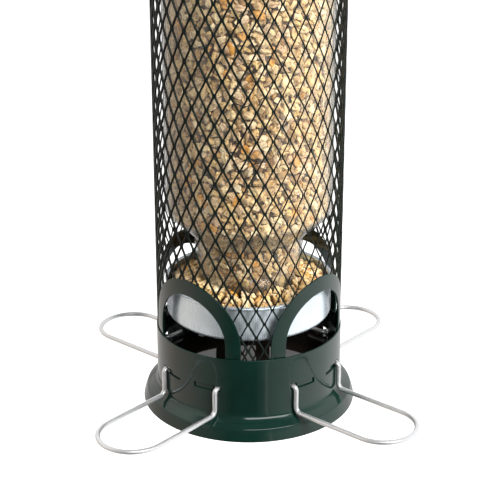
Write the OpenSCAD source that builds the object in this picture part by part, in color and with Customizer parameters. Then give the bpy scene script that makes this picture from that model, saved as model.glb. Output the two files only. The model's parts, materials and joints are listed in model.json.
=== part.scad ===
// Hanging seed feeder with a weight-operated mesh shroud.
// A clear seed tube and its metal tray hang from a wire bail. The shroud, a mesh
// tube with four arched ports, a base cup and four wire perches, hangs from a yoke
// that slides on the centre rod above the tube and rides on a spring. Raised, its
// ports stand above the tray's rim. Lowered, the tray's wall closes them. The cap
// covers the spring and slides up the bail.
// The origin is on the axis, level with the bottom of the base flange. The ports
// face -Y, +X, +Y and -X. The shroud is drawn lowered.

/* [Shroud] */
// Outer radius of the base cup's wall
cup_r = 58; // [45:0.5:80]
// Height of the base cup's top edge
cup_h = 50.4; // [35:0.1:80]
// Outer radius of the base flange at its foot
flange_r = 67.1; // [55:0.1:95]
// Height of the flange's upright skirt
flange_h = 7.4; // [4:0.1:14]
// Outer radius of the mesh
mesh_r = 57.4; // [44:0.1:79]
// Height of the mesh's top edge
mesh_top = 322; // [220:1:420]
// Height of the base floor's upper face
floor_z = 27.4; // [18:0.1:30]
// How far the shroud can rise
shroud_travel = 22; // [10:1:30]

/* [Ports] */
// Half the width of a port frame's outer edge
arch_w = 33.8; // [20:0.1:38]
// Rise of a port frame's outer edge above the arch centre
arch_h = 38.5; // [20:0.1:60]
// Half the width of the port itself
port_w = 25.7; // [14:0.1:34]
// Rise of the port itself above the arch centre
port_h = 28.7; // [14:0.1:50]
// Height of the arch centre
arch_z = 58; // [52:0.1:80]

/* [Perches] */
// Diameter of the perch wire
perch_d = 3; // [2:0.1:5]
// Half the distance between a perch's two legs
perch_w = 21; // [14:0.5:30]
// Distance from the axis to the perch's tip, at the wire's centre
perch_reach = 126; // [90:1:160]
// Height of the perch loop, at the wire's centre
perch_z = 13; // [10:0.5:25]
// Height of the slots that the perch ends hook into
slot_z = 30; // [29.4:0.1:40]
// Height of one slot's opening
slot_h = 3.6; // [3.5:0.1:8]

/* [Seed tube and tray] */
// Outer radius of the seed tube
tube_r = 51; // [38:0.5:70]
// Height of the seed tube's top edge
tube_top = 330; // [230:1:430]
// Outer radius of the neck where it meets the shoulder
neck_r = 34; // [20:0.5:45]
// Outer radius of the neck's lower end
mouth_r = 31; // [18:0.5:42]
// Height where the tube's shoulder starts to narrow
shoulder_z = 127; // [105:1:160]
// Height where the shoulder meets the neck
neck_z = 111; // [95:1:140]
// Height of the neck's lower end
mouth_z = 81; // [70:1:100]
// Outer radius of the tray's wall
tray_r = 51.2; // [38:0.1:70]
// Height of the tray's underside
tray_z = 59.2; // [55:0.1:80]
// Height of the tray's rim
rim_z = 82.2; // [68:0.1:110]
// Height of the seed inside the tube
fill_z = 306; // [150:1:400]

/* [Cap and hanger] */
// Outer radius of the cap's skirt
cap_r = 67; // [60:0.5:90]
// Height of the cap's lower edge
cap_z = 318; // [250:1:420]
// Height where the cap's skirt turns into its dome
cap_shoulder = 366; // [280:1:450]
// Height of the cap's crown
cap_top = 404; // [300:1:490]
// Diameter of the hanger wire
hanger_d = 3.5; // [2.5:0.1:6]
// Half the distance between the hanger's legs
hanger_w = 22; // [12:0.5:35]
// Height of the hanger's top, at the wire's centre
hanger_top = 498; // [420:1:600]

/* [Hidden] */
$fn = 96;
over = 1;              // how far a cutting shape runs past what it cuts
wire_fn = 32;
fine_fn = 160;
clear = 0.1;           // space all round a plain hole's bolt, wire or rod

// sheet and wall thicknesses
wall = 1;              // sheet metal of the cup, floor and hem
frame_t = 1.2;
mesh_t = 1;
clear_wall = 1.2;      // plastic of the seed tube
tray_wall = 0.8;
cap_wall = 1.5;
bar_t = 3;
yoke_t = 2.5;
washer_t = 1.2;

// rod, nuts and spring
rod_r = 2.5;
rod_end = 51;
rod_top = 391;
nut_h = 4;
nut_r = 4.6;
small_nut_r = 4;
washer_r = 9;
wing_reach = 12;
spring_wire = 1.6;
spring_r = 8;
spring_turns = 5;
spring_length = 20;    // with the shroud lowered

// shroud
cup_in = cup_r - wall;
seat_gap = 0.05;       // space between sheets that are welded together
floor_r = cup_in - seat_gap;
floor_lip = 6;
drain_r = 2.5;
drain_at = 40;
frame_r = mesh_r + 0.2;
frame_foot = cup_h - 8;
mesh_foot = cup_h - 12;
cove_z = 15;           // where the cup's wall turns out into the flange
slot_near = 5.8;       // sideways start of a slot, from the port's centre line
slot_far = 23;         // sideways end of a slot
hook_bend = 2.5;
knee_bend = 4;
hook_start = 8.5;      // sideways place of a perch wire's end inside the cup
hem_h = 6;
lip_t = 1.5;

// tube, tray and what holds them
collar_h = 16;
collar_r = tube_r + 2.2;
collar_in = tube_r - 4;
flange_out = 2.2;      // how far the collar's stop flange stands out
flange_t = 2;
stop_gap = 0.3;        // space left between a stop and what lands on it
bar_z = tube_top + 4;
bar_half = tube_r + 1;
bar_w = 18;
bar_top = bar_z + bar_t;
spring_foot = bar_top + washer_t;
tray_lip = 1.2;
tray_corner = 3;
tray_drain_r = 1.25;
tray_drain_at = 42;
grain_gap = 0.1;       // space between the seed and the walls that hold it

// yoke and bush
yoke_z = spring_foot + spring_length;
yoke_half = 7;
yoke_flat = 26;        // half the length of the yoke's level top
yoke_leg = mesh_r + 1.1;
yoke_bend_z = 344;
yoke_foot = 323;
rivet_z = 325.4;
rivet_r = 1.4;
bush_gap = 0.3;
bush_r = 5;
bush_flange_t = 1.5;
bush_drop = 5;
bush_top = yoke_z + yoke_t + bush_flange_t;
adjuster_z = bush_top + shroud_travel + stop_gap;

// bail, cap and perches
hanger_bend = 12;      // corner radius of the hanger, at the wire's centre
hanger_stub = 5;       // wire below the crossbar
hanger_r = hanger_d / 2;
sleeve_r = 4.5;
perch_r = perch_d / 2;
perch_clear = 0.15;    // space between a perch's leg and the cup

paint_green = [0.03, 0.17, 0.13];
mesh_green = [0.04, 0.13, 0.10];
steel = [0.75, 0.77, 0.78];
galvanised = [0.70, 0.75, 0.76];
clear_plastic = [0.85, 0.90, 0.92, 0.35];
dark_plastic = [0.06, 0.05, 0.045];
seed_colour = [0.78, 0.62, 0.40];

// A ring or disc between two radii and two heights
module ring(r_in, r_out, z0, z1) {
    translate([0, 0, z0])
        difference() {
            cylinder(r = r_out, h = z1 - z0);
            translate([0, 0, -over]) cylinder(r = r_in, h = z1 - z0 + 2 * over);
        }
}

// A hexagon nut on a bore, standing at height z
module hex_nut(r_bore, r_across, z) {
    translate([0, 0, z])
        difference() {
            cylinder(r = r_across, h = nut_h, $fn = 6);
            translate([0, 0, -over]) cylinder(r = r_bore, h = nut_h + 2 * over);
        }
}

// Straight wire of radius r that starts at p and runs len along +Z, +X or +Y
module wire(r, p, len, along = "z") {
    turn = along == "x" ? [0, 90, 0] : along == "y" ? [-90, 0, 0] : [0, 0, 0];
    translate(p) rotate(turn) cylinder(r = r, h = len, $fn = wire_fn);
}

// Bent wire about the Z axis: from angle a0, through sweep degrees
module bend(r, bend_r, a0, sweep) {
    rotate([0, 0, a0])
        rotate_extrude(angle = sweep)
            translate([bend_r, 0]) circle(r = r, $fn = wire_fn);
}

// ---------------------------------------------------------------- hanger

module hanger_wire() {
    straight = hanger_top - hanger_bend;
    foot = bar_z - hanger_stub;
    color(steel) {
        for (side = [-1, 1]) {
            wire(hanger_r, [side * hanger_w, 0, foot], straight - foot);
            translate([side * (hanger_w - hanger_bend), 0, straight])
                rotate([90, 0, 0])
                    bend(hanger_r, hanger_bend, side > 0 ? 0 : 90, 90);
        }
        wire(hanger_r, [hanger_bend - hanger_w, 0, hanger_top],
             2 * (hanger_w - hanger_bend), "x");
    }
}

module hanger_nuts() {
    color(steel)
        for (side = [-1, 1], z = [bar_z - nut_h, bar_top])
            translate([side * hanger_w, 0, 0])
                hex_nut(hanger_r, small_nut_r, z);
}

module crossbar() {
    color(steel)
        difference() {
            translate([-bar_half, -bar_w / 2, bar_z])
                cube([2 * bar_half, bar_w, bar_t]);
            for (x = [-hanger_w, hanger_w])
                translate([x, 0, bar_z - over])
                    cylinder(r = hanger_r + clear, h = bar_t + 2 * over);
            translate([0, 0, bar_z - over])
                cylinder(r = rod_r + clear, h = bar_t + 2 * over);
        }
}

// Rod through the crossbar, the seed and the tray; the yoke slides on its upper end
module centre_rod() {
    color(steel)
        translate([0, 0, rod_end]) cylinder(r = rod_r, h = rod_top - rod_end);
}

// The two nuts that clamp the rod to the crossbar
module rod_nuts() {
    color(steel)
        for (z = [bar_z - nut_h, spring_foot]) hex_nut(rod_r, nut_r, z);
}

// ---------------------------------------------------------- seed tube and tray

// Ring that caps the tube's upper edge and carries the crossbar. Its flange is
// the stop that the lowered shroud rests on.
module tube_collar() {
    stop_z = mesh_top + hem_h - lip_t - stop_gap;
    color(dark_plastic)
        union() {
            ring(tube_r + seat_gap, collar_r, tube_top - collar_h, tube_top);
            ring(collar_in, collar_r, tube_top, bar_z);
            ring(collar_r - over, collar_r + flange_out, stop_z - flange_t, stop_z);
        }
}

module seed_tube() {
    t = clear_wall;
    slant = t / 2;         // lowers the inner bends, to keep the wall's thickness
    color(clear_plastic)
        rotate_extrude()
            polygon([
                [mouth_r, mouth_z], [neck_r, neck_z], [tube_r, shoulder_z],
                [tube_r, tube_top], [tube_r - t, tube_top],
                [tube_r - t, shoulder_z + slant], [neck_r - t, neck_z + slant],
                [mouth_r - t, mouth_z]
            ]);
}

// Spider that stands in the tray and carries the neck, leaving gaps for the seed.
// The same shape, grown by a gap all round, is cut out of the seed.
module foot_shape(grow) {
    z0 = tray_z + tray_wall;
    hub_r = 6;
    hub_top = mouth_z - 5;
    rib_from = 3;
    rib_to = mouth_r - 1;
    rib_w = 2;
    rib_top = mouth_z - 1.5;
    seat_h = 3;
    // in the seed, the space above the seat runs on past the mouth
    rise = grow > 0 ? 5 : 0;
    translate([0, 0, z0 - grow])
        cylinder(r = hub_r + grow, h = hub_top - z0 + 2 * grow);
    for (a = [45:90:315])
        rotate([0, 0, a])
            translate([rib_from, -rib_w / 2 - grow, z0 - grow])
                cube([rib_to - rib_from + grow, rib_w + 2 * grow,
                      rib_top - z0 + 2 * grow]);
    ring(mouth_r - 2 * clear_wall - grow, mouth_r + 1 + grow,
         mouth_z - seat_h - grow, mouth_z + rise);
}

module tube_foot() {
    color(dark_plastic)
        difference() {
            foot_shape(0);
            translate([0, 0, tray_z]) cylinder(r = rod_r + clear, h = mouth_z - tray_z);
        }
}

module seed_tray() {
    corner_at = tray_r - tray_corner;
    upright = tray_z + tray_corner;
    color(galvanised)
        difference() {
            union() {
                rotate_extrude()
                    difference() {
                        union() {
                            translate([0, tray_z]) square([corner_at, tray_corner]);
                            translate([corner_at, upright]) circle(r = tray_corner);
                            translate([0, upright])
                                square([tray_r, rim_z - upright - tray_lip]);
                        }
                        translate([0, tray_z + tray_wall])
                            square([corner_at, tray_corner]);
                        translate([corner_at, upright])
                            circle(r = tray_corner - tray_wall);
                        translate([-over, upright])
                            square([tray_r - tray_wall + over, rim_z - tray_z]);
                    }
                translate([0, 0, rim_z - tray_lip])
                    rotate_extrude()
                        translate([tray_r - tray_wall / 2, 0]) circle(r = tray_lip);
            }
            translate([0, 0, tray_z - over])
                cylinder(r = rod_r + clear, h = tray_wall + 2 * over);
            for (a = [0:60:300])
                rotate([0, 0, a])
                    translate([tray_drain_at, 0, tray_z - over])
                        cylinder(r = tray_drain_r, h = tray_wall + 2 * over);
        }
}

module tray_washer() {
    color(steel) ring(rod_r + clear, washer_r, tray_z - washer_t, tray_z);
}

module tray_nut() {
    color(steel) hex_nut(rod_r, nut_r, tray_z - washer_t - nut_h);
}

// Seed in the tube, above the tray
module seed_fill() {
    g = clear_wall + grain_gap;
    r_in = rod_r + grain_gap;
    slant = g / 2;
    crown = 6;
    color(seed_colour)
        rotate_extrude()
            polygon([
                [r_in, mouth_z], [mouth_r - g, mouth_z],
                [neck_r - g, neck_z + slant], [tube_r - g, shoulder_z + slant],
                [tube_r - g, fill_z], [r_in, fill_z + crown]
            ]);
}

// Seed that has run out of the neck and lies in the tray
module seed_bed() {
    z0 = tray_z + tray_wall + grain_gap;
    r_out = tray_r - tray_wall - tray_lip;
    r_neck = mouth_r + 1.2;
    heel = tray_corner - tray_wall;
    edge_z = rim_z - 4;    // the seed slopes from here up to the neck
    neck_top = mouth_z + 2.5;
    color(seed_colour)
        difference() {
            rotate_extrude()
                polygon([
                    [rod_r + grain_gap, z0], [r_out - heel, z0],
                    [r_out, z0 + heel], [r_out, edge_z],
                    [r_neck, neck_top], [r_neck, mouth_z],
                    [rod_r + grain_gap, mouth_z - grain_gap]
                ]);
            foot_shape(grain_gap);
        }
}

// ---------------------------------------------------------------- lift spring

module spring_washer() {
    color(steel) ring(rod_r + clear, washer_r, bar_top, spring_foot);
}

// Coil of round wire: rings of points along a helix, joined ring to ring
module coil(r, coil_r, z0, rise, turns) {
    sides = 10;
    steps = 28 * turns;
    tilt = atan(rise / (turns * 2 * PI * coil_r));
    points = [
        for (i = [0:steps], k = [0:sides - 1])
            let (a = 360 * turns * i / steps, b = 360 * k / sides,
                 out = coil_r + r * cos(b), side = -r * sin(b) * sin(tilt))
                [out * cos(a) - side * sin(a), out * sin(a) + side * cos(a),
                 z0 + rise * i / steps + r * sin(b) * cos(tilt)]
    ];
    skin = [
        for (i = [0:steps - 1], k = [0:sides - 1])
            let (n = (k + 1) % sides, p = i * sides, q = p + sides)
                [p + k, q + k, q + n, p + n]
    ];
    ends = [
        [for (k = [0:sides - 1]) k],
        [for (k = [sides - 1:-1:0]) steps * sides + k]
    ];
    polyhedron(points, concat(skin, ends), convexity = 10);
}

module lift_spring() {
    r = spring_wire / 2;
    color(steel)
        coil(r, spring_r, spring_foot + r, spring_length - spring_wire, spring_turns);
}

// Wing nut on the rod's upper end that stops the yoke and sets the spring's pull
module adjusting_nut() {
    hub_r = 5;
    wing_t = 2;
    color(steel)
        difference() {
            union() {
                translate([0, 0, adjuster_z]) cylinder(r = hub_r, h = nut_h);
                for (side = [0, 180])
                    rotate([0, 0, side])
                        translate([hub_r - over, -wing_t / 2, adjuster_z])
                            cube([wing_reach - hub_r + over, wing_t, nut_h]);
            }
            translate([0, 0, adjuster_z - over])
                cylinder(r = rod_r, h = nut_h + 2 * over);
        }
}

// ---------------------------------------------------------------- shroud

// Half of a port's outline, filled, with its foot running down to z0
module arch(w, h, z0) {
    polygon(concat(
        [[-w, z0]],
        [for (a = [180:-4:0]) [w * cos(a), arch_z + h * sin(a)]],
        [[w, z0]]
    ));
}

// The arch outline cut radially through the -Y side of the shroud
module arch_cutter(w, h, z0) {
    from = 40;             // inside the shroud, past the ports' deepest corners
    rotate([90, 0, 0])
        translate([0, 0, from])
            linear_extrude(height = cup_r + over - from) arch(w, h, z0);
}

// The space that the cup's wall fills, cut out of the sheets behind it
module cup_cutter(z0) {
    ring(floor_r, cup_r + over, z0 - over, cup_h);
}

// Expanded-metal tube, as a plain sheet of the same size
module mesh_tube() {
    color(mesh_green)
        difference() {
            ring(mesh_r - mesh_t, mesh_r, mesh_foot, mesh_top);
            for (a = [0:90:270])
                rotate([0, 0, a]) arch_cutter(arch_w, arch_h, mesh_foot - over);
            cup_cutter(mesh_foot);
        }
}

// Hem on the mesh's top edge, with an inward lip that lands on the collar
module top_ring() {
    z1 = mesh_top + hem_h;
    color(paint_green)
        union() {
            ring(mesh_r - mesh_t, mesh_r + wall, mesh_top, z1);
            ring(collar_r + 0.4, mesh_r, z1 - lip_t, z1);
        }
}

// Strap over the tube's top: level in the middle, sloped, then two upright legs
module lift_yoke() {
    out = yoke_leg + yoke_t;
    top = yoke_z + yoke_t;
    slope_t = 0.4;         // keeps the slopes about as thick as the legs
    color(paint_green)
        difference() {
            rotate([90, 0, 90])
                translate([0, 0, -yoke_half])
                    linear_extrude(height = 2 * yoke_half)
                        polygon([
                            [-out, yoke_foot], [-out, yoke_bend_z + slope_t],
                            [-yoke_flat, top], [yoke_flat, top],
                            [out, yoke_bend_z + slope_t], [out, yoke_foot],
                            [yoke_leg, yoke_foot], [yoke_leg, yoke_bend_z - yoke_t / 2],
                            [yoke_flat - slope_t, yoke_z],
                            [slope_t - yoke_flat, yoke_z],
                            [-yoke_leg, yoke_bend_z - yoke_t / 2],
                            [-yoke_leg, yoke_foot]
                        ]);
            translate([0, 0, yoke_z - over]) cylinder(r = bush_r, h = yoke_t + 2 * over);
            for (side = [0, 180])
                rotate([0, 0, side])
                    wire(rivet_r + clear, [0, yoke_leg - over, rivet_z],
                         yoke_t + 2 * over, "y");
        }
}

// Rivets that pin the yoke's legs to the hem, one on each side
module yoke_rivets() {
    head_r = 2.6;
    head_t = 1;
    out = yoke_leg + yoke_t;
    color(steel)
        for (side = [0, 180])
            rotate([0, 0, side]) {
                wire(rivet_r, [0, mesh_r + wall + seat_gap, rivet_z],
                     out - mesh_r - wall, "y");
                wire(head_r, [0, out, rivet_z], head_t, "y");
            }
}

// Flanged plastic bush that guides the yoke on the rod. Its top meets the
// adjusting nut when the shroud is fully raised.
module yoke_bush() {
    z0 = yoke_z - bush_drop;
    color(dark_plastic)
        difference() {
            union() {
                translate([0, 0, z0]) cylinder(r = bush_r, h = bush_top - z0);
                translate([0, 0, yoke_z + yoke_t])
                    cylinder(r = yoke_half, h = bush_flange_t);
            }
            translate([0, 0, z0 - over])
                cylinder(r = rod_r + bush_gap, h = bush_top - z0 + 2 * over);
        }
}

// Flat strip, bent to the shroud's curve, that edges one port
module port_frame() {
    color(paint_green)
        difference() {
            intersection() {
                ring(frame_r - frame_t, frame_r, frame_foot, arch_z + arch_h + over);
                arch_cutter(arch_w, arch_h, frame_foot - over);
            }
            arch_cutter(port_w, port_h, frame_foot - 2 * over);
            cup_cutter(frame_foot);
        }
}

// Pressed cup: its wall turns out through a cove into the flange and its skirt
module base_cup() {
    color(paint_green)
        difference() {
            rotate_extrude()
                polygon([
                    [cup_r, cup_h], [cup_r, cove_z], [cup_r + 1, cove_z - 2.6],
                    [cup_r + 3.2, flange_h + 2.4], [flange_r - 2.6, flange_h + 0.8],
                    [flange_r - 1.9, flange_h], [flange_r - 0.3, 1.6],
                    [flange_r, 0], [flange_r - wall, 0],
                    [flange_r - wall - 1.8, flange_h - 0.8],
                    [cup_r + 2.2, flange_h + 1.4], [cup_in, cove_z - 2.4],
                    [cup_in, cup_h]
                ]);
            for (a = [0:90:270], side = [-1, 1])
                rotate([0, 0, a])
                    translate([side > 0 ? slot_near : -slot_far, -cup_r - over,
                               slot_z - slot_h / 2])
                        cube([slot_far - slot_near, cup_r / 3, slot_h]);
        }
}

// Floor of the cup, with a downturned lip and drain holes
module base_floor() {
    color(dark_plastic)
        difference() {
            union() {
                translate([0, 0, floor_z - wall]) cylinder(r = floor_r, h = wall);
                ring(floor_r - wall, floor_r, floor_z - floor_lip, floor_z);
            }
            for (a = [0:90:270])
                rotate([0, 0, a])
                    translate([drain_at, 0, floor_z - wall - over])
                        cylinder(r = drain_r, h = wall + 2 * over);
        }
}

// ---------------------------------------------------------------- perches

// One leg of a perch: hooked end inside the cup, leg, and side of the loop
module perch_side() {
    straight = 0.4;        // of wire in the slot, between the hook's two bends
    leg_y = -sqrt(pow(cup_r + perch_r + perch_clear, 2) - pow(perch_w, 2));
    hook_y = leg_y + 2 * hook_bend + straight;
    loop_y = perch_w - perch_reach;
    // end that lies along the inside of the cup's wall
    wire(perch_r, [hook_start, hook_y, slot_z], perch_w - hook_bend - hook_start, "x");
    translate([perch_w - hook_bend, hook_y - hook_bend, slot_z])
        bend(perch_r, hook_bend, 0, 90);
    // through the slot
    wire(perch_r, [perch_w, leg_y + hook_bend, slot_z], straight, "y");
    translate([perch_w, leg_y + hook_bend, slot_z - hook_bend])
        rotate([90, 0, -90])
            bend(perch_r, hook_bend, 0, 90);
    // down the outside
    wire(perch_r, [perch_w, leg_y, perch_z + knee_bend],
         slot_z - hook_bend - perch_z - knee_bend);
    translate([perch_w, leg_y - knee_bend, perch_z + knee_bend])
        rotate([90, 0, -90])
            bend(perch_r, knee_bend, 180, 90);
    // out to the rounded end
    wire(perch_r, [perch_w, loop_y, perch_z], leg_y - knee_bend - loop_y, "y");
}

module perch() {
    color(steel)
        union() {
            perch_side();
            mirror([1, 0, 0]) perch_side();
            translate([0, perch_w - perch_reach, perch_z])
                bend(perch_r, perch_w, 180, 180);
        }
}

// ---------------------------------------------------------------- cap

module cap_dome() {
    rise = cap_top - cap_shoulder;
    ball = (pow(cap_r, 2) + pow(rise, 2)) / (2 * rise);
    hair = 0.01;           // makes the skirt and the dome meet without a gap
    color(paint_green)
        difference() {
            union() {
                translate([0, 0, cap_z])
                    cylinder(r = cap_r, h = cap_shoulder - cap_z);
                intersection() {
                    translate([0, 0, cap_top - ball]) sphere(r = ball, $fn = fine_fn);
                    translate([0, 0, cap_shoulder - hair])
                        cylinder(r = cap_r, h = rise + over);
                }
            }
            translate([0, 0, cap_z - over])
                cylinder(r = cap_r - cap_wall, h = cap_shoulder - cap_z + over + hair);
            intersection() {
                translate([0, 0, cap_top - ball])
                    sphere(r = ball - cap_wall, $fn = fine_fn);
                translate([0, 0, cap_shoulder])
                    cylinder(r = cap_r - cap_wall, h = rise + over);
            }
            for (x = [-hanger_w, hanger_w])
                translate([x, 0, cap_shoulder]) cylinder(r = sleeve_r, h = rise + over);
        }
}

// Two guide sleeves: the cap stands on the hanger's nuts through them
module cap_sleeves() {
    z0 = bar_top + nut_h + stop_gap;
    color(dark_plastic)
        for (x = [-hanger_w, hanger_w])
            translate([x, 0, 0])
                ring(hanger_r + bush_gap, sleeve_r, z0, cap_top - 1);
}

hanger_wire();
hanger_nuts();
crossbar();
centre_rod();
rod_nuts();
tube_collar();
seed_tube();
tube_foot();
seed_tray();
tray_washer();
tray_nut();
seed_fill();
seed_bed();
spring_washer();
lift_spring();
adjusting_nut();
mesh_tube();
top_ring();
lift_yoke();
yoke_rivets();
yoke_bush();
port_frame();  // port_frame_front
rotate([0, 0, 90]) port_frame();  // port_frame_right
rotate([0, 0, 180]) port_frame();  // port_frame_back
rotate([0, 0, 270]) port_frame();  // port_frame_left
base_cup();
base_floor();
perch();  // perch_front
rotate([0, 0, 90]) perch();  // perch_right
rotate([0, 0, 180]) perch();  // perch_back
rotate([0, 0, 270]) perch();  // perch_left
cap_dome();
cap_sleeves();
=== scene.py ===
"""Hanging seed feeder with a weight-operated mesh shroud: the visual model.

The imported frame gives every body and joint. The classes below build the pieces that
need finer shape than the frame's solids, at the same sizes, and dress every other
part in its own finish. All sizes are in metres, in the frame's own axes.
"""

import json
import logging
import math
from dataclasses import dataclass, field
from enum import Enum
from typing import Any, Sequence

import bmesh
import bpy
import numpy as np
from mathutils import Matrix, Vector, noise

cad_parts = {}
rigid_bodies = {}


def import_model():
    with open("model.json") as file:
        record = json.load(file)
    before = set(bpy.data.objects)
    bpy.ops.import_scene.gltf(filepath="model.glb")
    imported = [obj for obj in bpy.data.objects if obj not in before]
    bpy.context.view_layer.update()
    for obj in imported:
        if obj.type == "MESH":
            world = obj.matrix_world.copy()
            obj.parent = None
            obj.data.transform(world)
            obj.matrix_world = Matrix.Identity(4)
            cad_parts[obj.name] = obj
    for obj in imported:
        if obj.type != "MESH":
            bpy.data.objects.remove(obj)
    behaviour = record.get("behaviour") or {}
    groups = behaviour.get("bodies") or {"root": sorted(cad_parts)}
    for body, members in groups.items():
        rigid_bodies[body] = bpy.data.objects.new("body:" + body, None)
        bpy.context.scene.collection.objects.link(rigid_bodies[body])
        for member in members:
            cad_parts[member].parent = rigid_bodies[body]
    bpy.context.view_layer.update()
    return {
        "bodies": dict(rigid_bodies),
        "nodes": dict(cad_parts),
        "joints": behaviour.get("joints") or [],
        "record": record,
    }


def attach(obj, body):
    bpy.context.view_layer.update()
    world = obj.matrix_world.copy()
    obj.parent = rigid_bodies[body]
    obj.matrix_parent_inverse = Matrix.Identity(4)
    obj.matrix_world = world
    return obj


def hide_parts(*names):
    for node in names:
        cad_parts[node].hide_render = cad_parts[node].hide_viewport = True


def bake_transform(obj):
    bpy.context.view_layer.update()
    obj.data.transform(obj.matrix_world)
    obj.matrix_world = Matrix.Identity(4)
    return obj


MM = 0.001
TURN = 2.0 * math.pi
LOG = logging.getLogger("feeder")

Colour = tuple[float, float, float, float]
Profile = list[tuple[float, float]]


class Body(str, Enum):
    """The frame's bodies that carry pieces made here."""

    SEED_UNIT = "seed_unit"
    SHROUD = "shroud"


class Side(Enum):
    """The four port positions, by their turn about the upright axis in degrees."""

    FRONT = 0
    RIGHT = 90
    BACK = 180
    LEFT = 270


def rgb(red: float, green: float, blue: float) -> Colour:
    """Returns an opaque linear colour."""
    return (red, green, blue, 1.0)


# --------------------------------------------------------------------- finishes


class Desk:
    """A material's node tree with short calls for the nodes the finishes share."""

    def __init__(self, name: str) -> None:
        """Starts a material with one Principled shader.

        Args:
            name: The material's name.
        """
        self.material = bpy.data.materials.new(name)
        self.material.use_nodes = True
        self.tree = self.material.node_tree
        self.shader = self.tree.nodes["Principled BSDF"]
        self.output = self.tree.nodes["Material Output"]

    def add(self, kind: str, **values: Any) -> bpy.types.Node:
        """Adds a node and sets its named inputs or properties.

        Args:
            kind: The node's type name without its ShaderNode prefix.
            values: Input values by socket name in lower case, or node properties.

        Returns:
            The new node.
        """
        node = self.tree.nodes.new("ShaderNode" + kind)
        sockets = {s.name.lower().replace(" ", "_"): s for s in node.inputs if s.enabled}
        for key, value in values.items():
            if key in sockets:
                sockets[key].default_value = value
            else:
                setattr(node, key, value)
        return node

    def link(self, source: bpy.types.NodeSocket, target: bpy.types.NodeSocket) -> None:
        """Joins an output socket to an input socket."""
        self.tree.links.new(source, target)

    def set(self, **values: Any) -> None:
        """Sets constants on the Principled shader's own sockets."""
        sockets = {s.name.lower().replace(" ", "_"): s for s in self.shader.inputs}
        for key, value in values.items():
            sockets[key].default_value = value

    def feed(self, name: str, source: bpy.types.NodeSocket) -> None:
        """Joins an output socket to a named input of the main shader."""
        self.link(source, self.shader.inputs[name])

    def place(self) -> bpy.types.NodeSocket:
        """Gives the position on the part, in metres."""
        return self.add("TexCoord").outputs["Object"]

    def unrolled(self, around: float, up: float) -> bpy.types.NodeSocket:
        """Gives position on an upright cylinder as angle around it and height.

        Args:
            around: Factor on the angle in radians.
            up: Factor on the height in metres.

        Returns:
            A vector output of angle, height and zero.
        """
        split = self.add("SeparateXYZ")
        self.link(self.place(), split.inputs["Vector"])
        angle = self.math("ARCTAN2", split.outputs["Y"], split.outputs["X"])
        join = self.add("CombineXYZ")
        self.link(self.math("MULTIPLY", angle, around), join.inputs["X"])
        self.link(self.math("MULTIPLY", split.outputs["Z"], up), join.inputs["Y"])
        return join.outputs["Vector"]

    def math(
        self, operation: str, first: Any, second: Any = 0.0, third: Any = 0.0
    ) -> bpy.types.NodeSocket:
        """Adds one Math node.

        Args:
            operation: The node's operation.
            first: A socket or a number.
            second: A socket or a number.
            third: A socket or a number, for the operations that take three.

        Returns:
            The value output.
        """
        node = self.add("Math", operation=operation)
        for slot_in, value in zip(node.inputs, (first, second, third)):
            if isinstance(value, bpy.types.NodeSocket):
                self.link(value, slot_in)
            else:
                slot_in.default_value = value
        return node.outputs["Value"]

    def noise(
        self, place: bpy.types.NodeSocket, scale: float, detail: float = 3.0, rough: float = 0.5
    ) -> bpy.types.NodeSocket:
        """Adds a noise texture.

        Args:
            place: The position it reads.
            scale: Cells per unit of that position.
            detail: Octaves.
            rough: Share of each octave in the next.

        Returns:
            The factor output.
        """
        node = self.add("TexNoise", scale=scale, detail=detail, roughness=rough)
        self.link(place, node.inputs["Vector"])
        return node.outputs["Fac"]

    def ramp(
        self, factor: bpy.types.NodeSocket, stops: Sequence[tuple[float, Colour]]
    ) -> bpy.types.NodeSocket:
        """Turns a factor into a colour.

        Args:
            factor: The value read.
            stops: Pairs of position and colour, in rising order.

        Returns:
            The colour output.
        """
        node = self.add("ValToRGB")
        elements = node.color_ramp.elements
        while len(elements) < len(stops):
            elements.new(0.5)
        for element, (position, colour) in zip(elements, stops):
            element.position = position
            element.color = colour
        self.link(factor, node.inputs["Fac"])
        return node.outputs["Color"]

    def span(
        self,
        factor: bpy.types.NodeSocket,
        low: float,
        high: float,
        start: float = 0.3,
        end: float = 0.7,
    ) -> bpy.types.NodeSocket:
        """Maps a factor on to a range.

        Args:
            factor: The value read.
            low: Result at the start.
            high: Result at the end.
            start: The factor that gives the low result.
            end: The factor that gives the high result.

        Returns:
            The value output.
        """
        node = self.add("MapRange")
        for name, value in zip(("From Min", "From Max", "To Min", "To Max"), (start, end, low, high)):
            node.inputs[name].default_value = value
        self.link(factor, node.inputs["Value"])
        return node.outputs["Result"]

    def blend(
        self, factor: Any, first: Any, second: Any, mode: str = "MIX"
    ) -> bpy.types.NodeSocket:
        """Mixes two colours.

        Args:
            factor: A socket or number, the share of the second colour.
            first: A socket or colour.
            second: A socket or colour.
            mode: The node's blend type.

        Returns:
            The colour output.
        """
        node = self.add("Mix", data_type="RGBA", blend_type=mode)
        ends = {"Factor": factor, "A": first, "B": second}
        for name, value in ends.items():
            want = "VALUE" if name == "Factor" else "RGBA"
            target = next(s for s in node.inputs if s.name == name and s.type == want)
            if isinstance(value, bpy.types.NodeSocket):
                self.link(value, target)
            else:
                target.default_value = value
        return next(s for s in node.outputs if s.type == "RGBA")

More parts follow.
